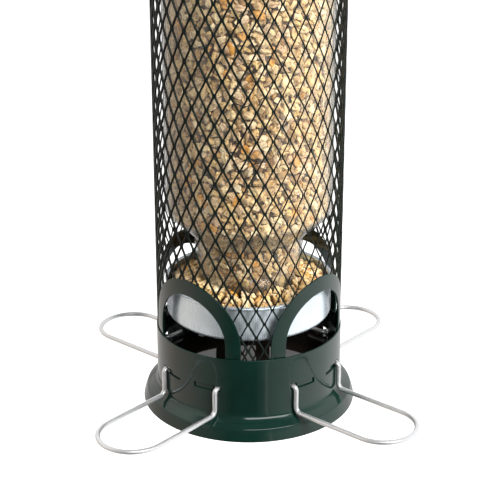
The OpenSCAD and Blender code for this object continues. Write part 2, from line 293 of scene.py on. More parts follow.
    def bump(
        self, heights: Sequence[tuple[bpy.types.NodeSocket, float]], strength: float = 1.0
    ) -> None:
        """Chains bump nodes into the Principled shader's normal.

        Args:
            heights: Pairs of height socket and bump distance in metres.
            strength: Strength of each bump.
        """
        last = None
        for height, distance in heights:
            node = self.add("Bump", strength=strength, distance=distance)
            self.link(height, node.inputs["Height"])
            if last is not None:
                self.link(last, node.inputs["Normal"])
            last = node.outputs["Normal"]
        if last is not None:
            self.link(last, self.shader.inputs["Normal"])


@dataclass(frozen=True)
class Finish:
    """One surface finish: its material's name and the record slot it stands for."""

    title: str
    slot: str

    def material(self) -> bpy.types.Material:
        """Returns the finish's material, made on first use."""
        made = bpy.data.materials.get(self.title)
        if made is None:
            desk = Desk(self.title)
            self.mix(desk)
            made = desk.material
        return made

    def mix(self, desk: Desk) -> None:
        """Lays out the finish's nodes. Each finish has its own."""
        raise NotImplementedError

    def dress(self, piece: bpy.types.Object) -> None:
        """Puts the finish on a whole piece."""
        piece.data.materials.clear()
        piece.data.materials.append(self.material())

    def redress(self, node: bpy.types.Object) -> None:
        """Puts the finish on a carried-over frame node, whose mesh stays as it is."""
        for holder in node.material_slots:
            holder.material = self.material()


@dataclass(frozen=True)
class StoveEnamel(Finish):
    """Glossy very dark green stoved paint over sheet metal."""

    title: str = "stove_enamel"
    slot: str = "shroud_paint"
    deep: Colour = rgb(0.0010, 0.0092, 0.0064)
    worn: Colour = rgb(0.0018, 0.0132, 0.0094)

    def mix(self, desk: Desk) -> None:
        """Two close greens, fine orange peel and a clear gloss coat."""
        place = desk.place()
        cloud = desk.noise(place, 55.0, 4.0)
        desk.feed("Base Color", desk.ramp(cloud, [(0.35, self.deep), (0.65, self.worn)]))
        desk.feed("Roughness", desk.span(desk.noise(place, 240.0, 3.0), 0.07, 0.13))
        desk.set(ior=1.5, coat_weight=0.25, coat_roughness=0.04, coat_ior=1.45)
        peel = desk.noise(place, 900.0, 2.0)
        wave = desk.noise(place, 90.0, 1.0)
        desk.bump([(peel, 0.000012), (wave, 0.00012)], 0.5)


@dataclass(frozen=True)
class MeshCoat(Finish):
    """Dark green dipped plastic coat on the expanded mesh."""

    title: str = "mesh_coat"
    slot: str = "mesh_paint"
    deep: Colour = rgb(0.0009, 0.0030, 0.0022)
    thin: Colour = rgb(0.0022, 0.0062, 0.0046)

    def mix(self, desk: Desk) -> None:
        """Near-black green, thinner in places, with a finely uneven skin."""
        place = desk.place()
        cloud = desk.noise(place, 320.0, 3.0)
        desk.feed("Base Color", desk.ramp(cloud, [(0.38, self.deep), (0.68, self.thin)]))
        desk.feed("Roughness", desk.span(cloud, 0.24, 0.38))
        desk.set(ior=1.38)
        desk.bump([(desk.noise(place, 1300.0, 2.0), 0.00003)], 0.6)


@dataclass(frozen=True)
class BrightWire(Finish):
    """Polished or drawn steel wire, by its tone and roughness, its base colour darkened towards the
    outline as painted shade.
    """

    light: Colour = rgb(0.84, 0.84, 0.79)
    dark: Colour = rgb(0.62, 0.62, 0.57)
    gloss: float = 0.09
    dull: float = 0.18
    # Painted shade: base colour factors by how far the surface turns from the viewer, dark at the
    # outline.
    painted_edge_shade: tuple[tuple[float, Colour], ...] = (
        (0.10, rgb(1.0, 1.0, 1.0)),
        (0.30, rgb(0.36, 0.36, 0.32)),
        (0.70, rgb(0.07, 0.07, 0.06)),
    )

    def mix(self, desk: Desk) -> None:
        """Metal with faint blotches and die marks, its base colour darkened towards its outline as
        painted shade for the dark surroundings a round wire mirrors.
        """
        place = desk.place()
        blotch = desk.noise(place, 70.0, 4.0)
        marks = desk.noise(place, 1500.0, 2.0)
        tone = desk.ramp(blotch, [(0.32, self.dark), (0.62, self.light)])
        # Painted shade: Layer Weight facing darkens the base colour towards the outline, standing in
        # for mirrored dark surroundings.
        facing = desk.add("LayerWeight", blend=0.5).outputs["Facing"]
        edge_shade = desk.ramp(facing, self.painted_edge_shade)
        desk.feed("Base Color", desk.blend(1.0, tone, edge_shade, "MULTIPLY"))
        desk.feed("Roughness", desk.span(marks, self.gloss, self.dull))
        desk.set(metallic=1.0)
        desk.bump([(marks, 0.000008)], 0.5)


@dataclass(frozen=True)
class ZincPlate(Finish):
    """Dull zinc plating with faint spangles and yellowish passivation."""

    title: str = "zinc_plate"
    slot: str = "zinc_hardware"

    def mix(self, desk: Desk) -> None:
        """Voronoi spangles over a noise of two greys."""
        place = desk.place()
        spangle = desk.add("TexVoronoi", scale=420.0)
        desk.link(place, spangle.inputs["Vector"])
        cloud = desk.noise(place, 160.0, 3.0)
        base = desk.ramp(cloud, [(0.3, rgb(0.42, 0.41, 0.37)), (0.7, rgb(0.60, 0.60, 0.57))])
        desk.feed("Base Color", desk.blend(0.18, base, spangle.outputs["Color"], "OVERLAY"))
        desk.feed("Roughness", desk.span(cloud, 0.30, 0.48))
        desk.set(metallic=1.0)
        desk.bump([(spangle.outputs["Distance"], 0.00003)], 0.4)


@dataclass(frozen=True)
class BrushedTray(Finish):
    """Bright galvanised sheet, brushed upright, a little cloudy."""

    title: str = "brushed_tray"
    slot: str = "tray_metal"

    def mix(self, desk: Desk) -> None:
        """Upright streaks in tone, roughness and bump."""
        streak = desk.noise(desk.unrolled(160.0, 45.0), 1.0, 4.0, 0.6)
        fine = desk.noise(desk.unrolled(700.0, 60.0), 1.0, 3.0, 0.6)
        cloud = desk.noise(desk.place(), 60.0, 4.0)
        streaky = desk.ramp(
            streak, [(0.28, rgb(0.64, 0.73, 0.79)), (0.70, rgb(0.84, 0.92, 0.97))]
        )
        cloudy = desk.ramp(cloud, [(0.3, rgb(0.78, 0.80, 0.82)), (0.7, rgb(1.0, 1.0, 1.0))])
        desk.feed("Base Color", desk.blend(0.8, streaky, cloudy, "MULTIPLY"))
        desk.feed("Roughness", desk.span(fine, 0.20, 0.34))
        desk.set(metallic=0.72)
        desk.bump([(fine, 0.00002), (streak, 0.00004)], 0.5)


@dataclass(frozen=True)
class ClearTube(Finish):
    """Clear plastic with a light haze of seed dust, glossier at grazing angles."""

    title: str = "clear_tube"
    slot: str = "clear_plastic"
    haze: float = 0.015
    mirror: float = 0.05

    def mix(self, desk: Desk) -> None:
        """See-through, with a film of dust under a gloss that grows to the edges."""
        place = desk.place()
        dust = desk.noise(desk.unrolled(9.0, 18.0), 1.0, 5.0, 0.62)
        film_tone = desk.ramp(dust, [(0.3, rgb(0.46, 0.43, 0.37)), (0.7, rgb(0.62, 0.60, 0.54))])
        desk.feed("Base Color", film_tone)
        desk.set(roughness=0.6, ior=1.3)
        facing = desk.add("LayerWeight", blend=0.5).outputs["Facing"]
        edge = desk.math("POWER", facing, 3.0)
        film = desk.math("MULTIPLY_ADD", edge, 0.45, self.haze)
        dusty = desk.math("ADD", film, desk.span(dust, 0.0, 0.05))
        clear = desk.add("BsdfTransparent")
        body = desk.add("MixShader")
        desk.link(dusty, body.inputs[0])
        desk.link(clear.outputs[0], body.inputs[1])
        desk.link(desk.shader.outputs[0], body.inputs[2])
        wave = desk.add("Bump", strength=0.15, distance=0.0004)
        desk.link(desk.noise(place, 26.0, 2.0), wave.inputs["Height"])
        gloss = desk.add("BsdfGlossy", roughness=0.05)
        desk.link(wave.outputs["Normal"], gloss.inputs["Normal"])
        mirror = desk.math("MULTIPLY_ADD", desk.math("POWER", facing, 5.0), 0.9, self.mirror)
        whole = desk.add("MixShader")
        desk.link(mirror, whole.inputs[0])
        desk.link(body.outputs[0], whole.inputs[1])
        desk.link(gloss.outputs[0], whole.inputs[2])
        desk.link(whole.outputs[0], desk.output.inputs["Surface"])


@dataclass(frozen=True)
class MouldedPlastic(Finish):
    """Brown-black moulded plastic, by the polish of its mould."""

    title: str = "moulded_plastic"
    slot: str = "dark_plastic"
    gloss: float = 0.32
    dull: float = 0.46
    grain_depth: float = 0.00003

    def mix(self, desk: Desk) -> None:
        """Fine grain in roughness and bump over a near-black brown."""
        place = desk.place()
        grain = desk.noise(place, 2200.0, 2.0)
        cloud = desk.noise(place, 90.0, 3.0)
        browns = [(0.3, rgb(0.006, 0.0045, 0.0035)), (0.7, rgb(0.011, 0.0085, 0.007))]
        desk.feed("Base Color", desk.ramp(cloud, browns))
        desk.feed("Roughness", desk.span(grain, self.gloss, self.dull))
        desk.bump([(grain, self.grain_depth)], 0.5)


@dataclass(frozen=True)
class SeedSkin(Finish):
    """Dry hulled seed: tan to gold, each grain its own tone, some orange."""

    title: str = "seed_skin"
    slot: str = "seed"
    tones: tuple[tuple[float, Colour], ...] = (
        (0.00, rgb(0.300, 0.170, 0.070)),
        (0.07, rgb(0.580, 0.390, 0.170)),
        (0.22, rgb(0.860, 0.710, 0.420)),
        (0.42, rgb(0.680, 0.480, 0.230)),
        (0.56, rgb(0.820, 0.610, 0.270)),
        (0.68, rgb(0.720, 0.510, 0.320)),
        (0.84, rgb(0.920, 0.800, 0.540)),
        (0.95, rgb(0.520, 0.320, 0.140)),
        (0.99, rgb(0.760, 0.380, 0.070)),
    )
    # Reach of the ambient occlusion that paints shade between grains.
    shade_reach: float = 3.0 * MM

    def mix(self, desk: Desk) -> None:
        """A tone per grain, mottled and flecked, with painted shade darkening it where grains press
        together.
        """
        each = desk.add("NewGeometry").outputs["Random Per Island"]
        place = desk.place()
        mottle = desk.noise(place, 480.0, 4.0, 0.6)
        fleck = desk.noise(place, 900.0, 3.0, 0.6)
        own = desk.ramp(each, self.tones)
        shade = desk.ramp(
            mottle,
            [(0.34, rgb(0.34, 0.23, 0.14)), (0.46, rgb(0.90, 0.87, 0.80)), (0.6, rgb(1.0, 1.0, 1.0))],
        )
        mottled = desk.blend(0.8, own, shade, "MULTIPLY")
        flecks = desk.ramp(fleck, [(0.30, rgb(0.35, 0.22, 0.12)), (0.42, rgb(1.0, 1.0, 1.0))])
        flecked = desk.blend(0.6, mottled, flecks, "MULTIPLY")
        # Painted shade: ambient occlusion darkens the base colour where grains press together.
        grain_occlusion = desk.add("AmbientOcclusion", distance=self.shade_reach, samples=6, only_local=True)
        pressed = desk.ramp(
            grain_occlusion.outputs["AO"],
            [(0.15, rgb(0.13, 0.065, 0.03)), (0.45, rgb(0.62, 0.50, 0.37)), (0.75, rgb(1.0, 1.0, 1.0))],
        )
        desk.feed("Base Color", desk.blend(1.0, flecked, pressed, "MULTIPLY"))
        desk.feed("Roughness", desk.span(mottle, 0.42, 0.62))
        desk.set(ior=1.42)
        desk.bump([(mottle, 0.00045), (fleck, 0.00015)], 0.7)


@dataclass(frozen=True)
class SeedShadow(Finish):
    """Packed seed seen in the gaps between the outer grains, painted very dark as the shade it lies in.
    """

    title: str = "seed_shadow"
    slot: str = "seed"

    def mix(self, desk: Desk) -> None:
        """Cells of brown, all painted dark as shade, with painted shade darker still between them."""
        place = desk.place()
        cell = desk.add("TexVoronoi", scale=190.0)
        desk.link(place, cell.inputs["Vector"])
        tone = desk.noise(place, 300.0, 3.0)
        # Painted shade: the browns are far darker than the grains' own tone, and the cell edges darker
        # still.
        browns = desk.ramp(tone, [(0.3, rgb(0.060, 0.030, 0.013)), (0.7, rgb(0.200, 0.120, 0.055))])
        gaps = desk.ramp(
            cell.outputs["Distance"], [(0.2, rgb(1.0, 1.0, 1.0)), (0.7, rgb(0.25, 0.2, 0.15))]
        )
        desk.feed("Base Color", desk.blend(1.0, browns, gaps, "MULTIPLY"))
        desk.set(roughness=0.8)
        desk.bump([(cell.outputs["Distance"], 0.0012)], 0.8)


ENAMEL = StoveEnamel()
MESH_COAT = MeshCoat()
PERCH_WIRE = BrightWire("perch_wire", "perch_wire")
BAIL_WIRE = BrightWire(
    "bail_wire", "hanger_wire", rgb(0.66, 0.66, 0.64), rgb(0.46, 0.46, 0.45), 0.22, 0.38
)
COIL_WIRE = BrightWire(
    "coil_wire", "spring_steel", rgb(0.52, 0.53, 0.54), rgb(0.34, 0.34, 0.35), 0.24, 0.40
)
ZINC = ZincPlate()
TRAY_METAL = BrushedTray()
CLEAR = ClearTube()
PLASTIC = MouldedPlastic()
FLOOR_PLASTIC = MouldedPlastic("polished_plastic", "dark_plastic", 0.02, 0.05, 0.000002)
SEED = SeedSkin()
SEED_GAPS = SeedShadow()


# ------------------------------------------------------------------ mesh helpers


def to_object(name: str, verts: Any, faces: Any, smooth: bool = True) -> bpy.types.Object:
    """Makes a mesh object and links it to the scene.

    Args:
        name: The piece's name.
        verts: Vertex positions, in metres.
        faces: Vertex indices of each face.
        smooth: Whether faces shade smoothly.

    Returns:
        The new object.
    """
    mesh = bpy.data.meshes.new(name)
    mesh.from_pydata([tuple(v) for v in verts], [], [tuple(f) for f in faces])
    mesh.validate()
    mesh.polygons.foreach_set("use_smooth", [smooth] * len(mesh.polygons))
    piece = bpy.data.objects.new(name, mesh)
    bpy.context.scene.collection.objects.link(piece)
    return piece


def soften(piece: bpy.types.Object, width: float, steps: int = 2, angle: float = 35.0) -> None:
    """Rounds a piece's sharp edges and evens its shading.

    Args:
        piece: The piece.
        width: Width of the rounding, in metres.
        steps: Segments across it.
        angle: Edges sharper than this, in degrees, are rounded.
    """
    bevel = piece.modifiers.new("edge_round", "BEVEL")
    bevel.width = width
    bevel.segments = steps
    bevel.limit_method = "ANGLE"
    bevel.angle_limit = math.radians(angle)
    bevel.harden_normals = False
    piece.modifiers.new("even_shading", "WEIGHTED_NORMAL").keep_sharp = True


def thicken(piece: bpy.types.Object, depth: float) -> None:
    """Gives a sheet its thickness, inwards from its outer face."""
    sheet = piece.modifiers.new("sheet", "SOLIDIFY")
    sheet.thickness = depth
    sheet.offset = -1.0
    sheet.use_even_offset = True


def arc(
    centre: tuple[float, float], radius: float, start: float, end: float, steps: int
) -> Profile:
    """Points of an arc in a profile.

    Args:
        centre: Radius and height of the arc's centre.
        radius: The arc's radius.
        start: First angle, in degrees from the outward direction.
        end: Last angle, in degrees.
        steps: Segments in the arc.

    Returns:
        The points, both ends included.
    """
    turns = [math.radians(start + (end - start) * k / steps) for k in range(steps + 1)]
    return [(centre[0] + radius * math.cos(t), centre[1] + radius * math.sin(t)) for t in turns]


def lathe(name: str, profile: Profile, segments: int = 144, closed: bool = True) -> bpy.types.Object:
    """Turns a profile about the upright axis.

    Args:
        name: The piece's name.
        profile: Points of radius and height, outer side first going up.
        segments: Steps around the axis.
        closed: Whether the last point joins the first.

    Returns:
        The new object.
    """
    rows = len(profile)
    verts = [
        (r * math.cos(TURN * s / segments), r * math.sin(TURN * s / segments), z)
        for s in range(segments)
        for r, z in profile
    ]
    faces = []
    for s in range(segments):
        near, far = s * rows, ((s + 1) % segments) * rows
        for k in range(rows if closed else rows - 1):
            n = (k + 1) % rows
            faces.append((near + k, far + k, far + n, near + n))
    piece = to_object(name, verts, faces)
    weld(piece)
    return piece


def weld(piece: bpy.types.Object, gap: float = 1e-6) -> None:
    """Joins vertices that lie within a gap of each other and turns faces outwards."""
    work = bmesh.new()
    work.from_mesh(piece.data)
    bmesh.ops.remove_doubles(work, verts=work.verts, dist=gap)
    bmesh.ops.recalc_face_normals(work, faces=work.faces)
    work.to_mesh(piece.data)
    work.free()


def sweep_rings(
    path: Sequence[Vector], radius: float | Sequence[float], sides: int, up: Vector
) -> tuple[list[Vector], list[tuple[int, ...]]]:
    """Runs a round section along a path, with flat ends.

    Args:
        path: Points along the wire's centre.
        radius: One radius, or one per point.
        sides: Points round the section.
        up: A direction never parallel to the path's start.

    Returns:
        Vertices and faces.
    """
    radii = [radius] * len(path) if isinstance(radius, float) else list(radius)
    verts: list[Vector] = []
    side = up.cross(path[1] - path[0]).normalized()
    for k, point in enumerate(path):
        ahead = path[min(k + 1, len(path) - 1)] - path[max(k - 1, 0)]
        ahead.normalize()
        side = (side - ahead * side.dot(ahead)).normalized()
        other = ahead.cross(side)
        for n in range(sides):
            turn = TURN * n / sides
            verts.append(point + (side * math.cos(turn) + other * math.sin(turn)) * radii[k])
    faces: list[tuple[int, ...]] = []
    for k in range(len(path) - 1):
        for n in range(sides):
            m = (n + 1) % sides
            faces.append((k * sides + n, k * sides + m, (k + 1) * sides + m, (k + 1) * sides + n))
    last = (len(path) - 1) * sides
    faces.append(tuple(reversed(range(sides))))
    faces.append(tuple(last + n for n in range(sides)))
    return verts, faces


def wire(
    name: str, path: Sequence[Vector], radius: float, sides: int = 16
) -> bpy.types.Object:
    """Makes a round wire along a path, its ends nipped to a small chamfer.

    Args:
        name: The piece's name.
        path: Points along the wire's centre.
        radius: The wire's radius.
        sides: Points round the wire.

    Returns:
        The new object.
    """
    nip = 0.35 * radius
    start = path[0] + (path[1] - path[0]).normalized() * nip
    end = path[-1] + (path[-2] - path[-1]).normalized() * nip
    full = [path[0], start, *path[1:-1], end, path[-1]]
    radii = [radius * 0.72, radius] + [radius] * (len(full) - 4) + [radius, radius * 0.72]
    verts, faces = sweep_rings(full, radii, sides, Vector((0.13, 0.31, 0.94)))
    piece = to_object(name, verts, faces)
    weld(piece, 1e-7)
    return piece


def rounded_path(corners: Sequence[tuple[Vector, float]], steps: int = 10) -> list[Vector]:
    """Rounds the corners of a bent wire's centre line.

    Args:
        corners: Each corner with its bend radius. The ends have radius zero.
        steps: Segments in each bend.

    Returns:
        The points of the rounded line.
    """
    line: list[Vector] = []
    for k, (here, radius) in enumerate(corners):
        if radius <= 0.0 or k in (0, len(corners) - 1):
            line.append(here)
            continue
        before = (corners[k - 1][0] - here).normalized()
        after = (corners[k + 1][0] - here).normalized()
        half = before.angle(after) / 2.0
        reach = radius / math.tan(half)
        centre = here + (before + after).normalized() * (radius / math.sin(half))
        first, last = here + before * reach - centre, here + after * reach - centre
        for n in range(steps + 1):
            line.append(centre + first.slerp(last, n / steps).normalized() * radius)
    return line


def spin(piece: bpy.types.Object, degrees: float) -> None:
    """Turns a piece's mesh about the upright axis."""
    piece.data.transform(Matrix.Rotation(math.radians(degrees), 4, "Z"))


def settle(piece: bpy.types.Object, finish: Finish, body: Body, *nodes: str) -> bpy.types.Object:
    """Dresses a piece, hangs it on its body and hides the frame nodes it stands for.

    Args:
        piece: The piece.
        finish: Its finish.
        body: The body that carries it.
        nodes: Frame nodes that it replaces.

    Returns:
        The same piece.
    """
    finish.dress(piece)
    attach(piece, body.value)
    if nodes:
        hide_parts(*nodes)
    LOG.info("%s: %d faces on %s", piece.name, len(piece.data.polygons), body.value)
    return piece


# ----------------------------------------------------------------------- shroud


@dataclass(frozen=True)
class Port:
    """The arched port's outline, flattened on to the shroud's front."""

    centre_z: float = 58.0 * MM
    outer_half: float = 33.8 * MM
    outer_rise: float = 38.5 * MM
    inner_half: float = 25.7 * MM
    inner_rise: float = 28.7 * MM

    def edge(self, turn: float, share: float) -> tuple[float, float]:
        """A point between the port's edge and the frame's outer edge.

        Args:
            turn: Angle round the arch in radians, from its right foot.
            share: Zero on the port's edge, one on the frame's outer edge.

        Returns:
            Sideways place and height.
        """
        half = self.inner_half + (self.outer_half - self.inner_half) * share
        rise = self.inner_rise + (self.outer_rise - self.inner_rise) * share
        return half * math.cos(turn), self.centre_z + rise * math.sin(turn)

    def holds(self, sideways: float, height: float, share: float) -> bool:
        """Tells whether a point lies inside the arch drawn at a share of its strip."""
        half = self.inner_half + (self.outer_half - self.inner_half) * share
        rise = self.inner_rise + (self.outer_rise - self.inner_rise) * share
        if height < self.centre_z:
            return abs(sideways) < half
        return (sideways / half) ** 2 + ((height - self.centre_z) / rise) ** 2 < 1.0


@dataclass
class ExpandedMesh:
    """The shroud's expanded-metal tube: zigzag strands joined at short bonds."""

    port: Port
    radius: float = 56.92 * MM
    columns: int = 74
    cell_h: float = 17.4 * MM
    node_turn: float = 40.3
    node_z: float = 143.35 * MM
    bottom: float = 41.0 * MM
    top: float = 325.0 * MM
    strand_w: float = 1.45 * MM
    strand_t: float = 0.80 * MM
    corner_w: float = 1.08
    corner_t: float = 1.12
    tilt: float = -42.0
    bond: float = 2.3 * MM
    bond_gap: float = 0.52 * MM
    cup_top: float = 50.6 * MM
    cup_tuck: float = 0.55 * MM
    cut_share: float = 0.55
    cut_halvings: int = 6
    sides: int = 6

    def height_steps(self) -> list[tuple[float, float]]:
        """Heights within half a cell, each with its share of the way across."""
        half = self.cell_h / 2.0
        dwell = self.bond / 2.0
        run = half - 2.0 * dwell
        return [
            (0.0, 0.0),
            (dwell * 0.8, 0.02),
            (dwell + 0.12 * run, 0.16),
            (dwell + 0.5 * run, 0.5),
            (dwell + 0.88 * run, 0.84),
            (half - dwell * 0.8, 0.98),
        ]

    def centre_line(self, column: int) -> list[tuple[float, float]]:
        """One strand's zigzag between a column of nodes and the next.

        Args:
            column: Number of the column on the strand's left.

        Returns:
            Pairs of angle in radians and height.
        """
        half = self.cell_h / 2.0
        step = TURN / self.columns
        gap = self.bond_gap / self.radius
        left = math.radians(self.node_turn) + step * column + gap
        right = left + step - 2.0 * gap
        first = self.node_z + half * (column % 2)
        start = math.floor((self.bottom - first) / half)
        line = []
        count = int((self.top - self.bottom) / half) + 2
        for k in range(start, start + count):
            here, there = (left, right) if k % 2 == 0 else (right, left)
            for rise, share in self.height_steps():
                z = first + k * half + rise
                if self.bottom <= z <= self.top:
                    line.append((here + (there - here) * share, z))
        return line

    def open_at(self, turn: float, z: float) -> bool:
        """Tells whether the mesh is cut away here for one of the ports."""
        off = (turn + TURN / 8.0) % (TURN / 4.0) - TURN / 8.0
        return self.port.holds(self.radius * math.sin(off), z, self.cut_share)

    def runs(self, line: list[tuple[float, float]]) -> list[list[tuple[float, float]]]:
        """Cuts a strand where a port's frame crosses it.

        Args:
            line: The whole strand.

        Returns:
            The stretches that are left.
        """
        kept: list[list[tuple[float, float]]] = []
        run: list[tuple[float, float]] = []
        before: tuple[float, float] | None = None
        for point in line:
            is_open = self.open_at(*point)
            if before is not None and is_open != self.open_at(*before):
                solid, gone = (before, point) if is_open else (point, before)
                for _ in range(self.cut_halvings):
                    middle = ((solid[0] + gone[0]) / 2.0, (solid[1] + gone[1]) / 2.0)
                    solid, gone = (solid, middle) if self.open_at(*middle) else (middle, gone)
                run.append(solid)
            if is_open:
                if len(run) > 1:
                    kept.append(run)
                run = []
            else:
                run.append(point)
            before = point
        if len(run) > 1:
            kept.append(run)
        return kept

    def section(self) -> list[tuple[float, float]]:
        """The strand's flattened, tilted cross-section, as sideways and outward steps."""
        tilt = math.radians(self.tilt)
        points = []
        for k in range(self.sides):
            turn = TURN * (k + 0.5) / self.sides
            wide = self.strand_w / 2.0 * math.cos(turn) * self.corner_w
            deep = self.strand_t / 2.0 * math.sin(turn) * self.corner_t
            points.append(
                (wide * math.cos(tilt) - deep * math.sin(tilt),
                 wide * math.sin(tilt) + deep * math.cos(tilt))
            )
        return points

    def build(self) -> bpy.types.Object:
        """Makes the whole mesh tube as one piece."""
        verts: list[tuple[float, float, float]] = []
        faces: list[tuple[int, ...]] = []
        section = self.section()
        for column in range(self.columns):
            for run in self.runs(self.centre_line(column)):
                base = len(verts)
                for turn, z in run:
                    sunk = self.cup_tuck if z < self.cup_top else 0.0
                    for side, out in section:
                        r = self.radius + out - sunk
                        a = turn + side / self.radius
                        verts.append((r * math.sin(a), -r * math.cos(a), z))
                n = self.sides
                for k in range(len(run) - 1):
                    for m in range(n):
                        p, q = base + k * n + m, base + k * n + (m + 1) % n
                        faces.append((p, q, q + n, p + n))
                last = base + (len(run) - 1) * n
                faces.append(tuple(base + m for m in reversed(range(n))))
                faces.append(tuple(last + m for m in range(n)))
        piece = to_object("mesh_lattice", verts, faces)
        return settle(piece, MESH_COAT, Body.SHROUD, "mesh_tube")


@dataclass
class PortFrame:
    """One flat strip, bent to the shroud's curve, that edges a port."""

    port: Port
    side: Side
    radius: float = 57.6 * MM
    sunk_radius: float = 56.9 * MM
    thickness: float = 1.15 * MM
    foot: float = 42.6 * MM
    cup_top: float = 50.4 * MM
    edge_gap: float = 0.3 * MM
    joggle: float = 2.2 * MM
    edge_round: float = 0.28 * MM
    across: int = 4
    along: int = 56
    leg_rows: int = 8

    def radius_at(self, z: float) -> float:
        """The strip's outer radius: it tucks inside the cup at its feet."""
        rise = min(max((z - self.cup_top - self.edge_gap) / self.joggle, 0.0), 1.0)
        return self.sunk_radius + (self.radius - self.sunk_radius) * rise * rise * (3.0 - 2.0 * rise)

    def outline(self) -> list[list[tuple[float, float]]]:
        """Rows of points across the strip, from one foot round to the other."""
        shares = [k / self.across for k in range(self.across + 1)]
        heights = np.linspace(self.foot, self.port.centre_z, self.leg_rows + 1)[:-1]
        turns = [math.pi * k / self.along for k in range(self.along + 1)]
        legs = [[(self.port.edge(0.0, s)[0], z) for s in shares] for z in heights]
        arch = [[self.port.edge(t, s) for s in shares] for t in turns]
        other = [[(-x, z) for x, z in row] for row in reversed(legs)]
        return legs + arch + other

    def build(self) -> bpy.types.Object:
        """Makes the strip and bends it on to the shroud."""
        verts, faces = [], []
        n = self.across + 1
        for row in self.outline():
            for x, z in row:
                r = self.radius_at(z)
                a = math.asin(x / self.radius)
                verts.append((r * math.sin(a), -r * math.cos(a), z))
        for k in range(len(verts) // n - 1):
            for m in range(self.across):
                p = k * n + m
                faces.append((p, p + n, p + n + 1, p + 1))
        piece = to_object(f"port_trim_{self.side.name.lower()}", verts, faces)
        spin(piece, self.side.value)
        face_outwards(piece)
        thicken(piece, self.thickness)
        soften(piece, self.edge_round)
        return settle(piece, ENAMEL, Body.SHROUD, f"port_frame_{self.side.name.lower()}")


def face_outwards(piece: bpy.types.Object) -> None:
    """Turns an open upright sheet's faces away from the axis."""
    work = bmesh.new()
    work.from_mesh(piece.data)
    work.normal_update()
    total = sum(
        f.normal.x * f.calc_center_median().x + f.normal.y * f.calc_center_median().y
        for f in work.faces
    )
    if total < 0.0:
        bmesh.ops.reverse_faces(work, faces=work.faces)
    work.to_mesh(piece.data)
    work.free()


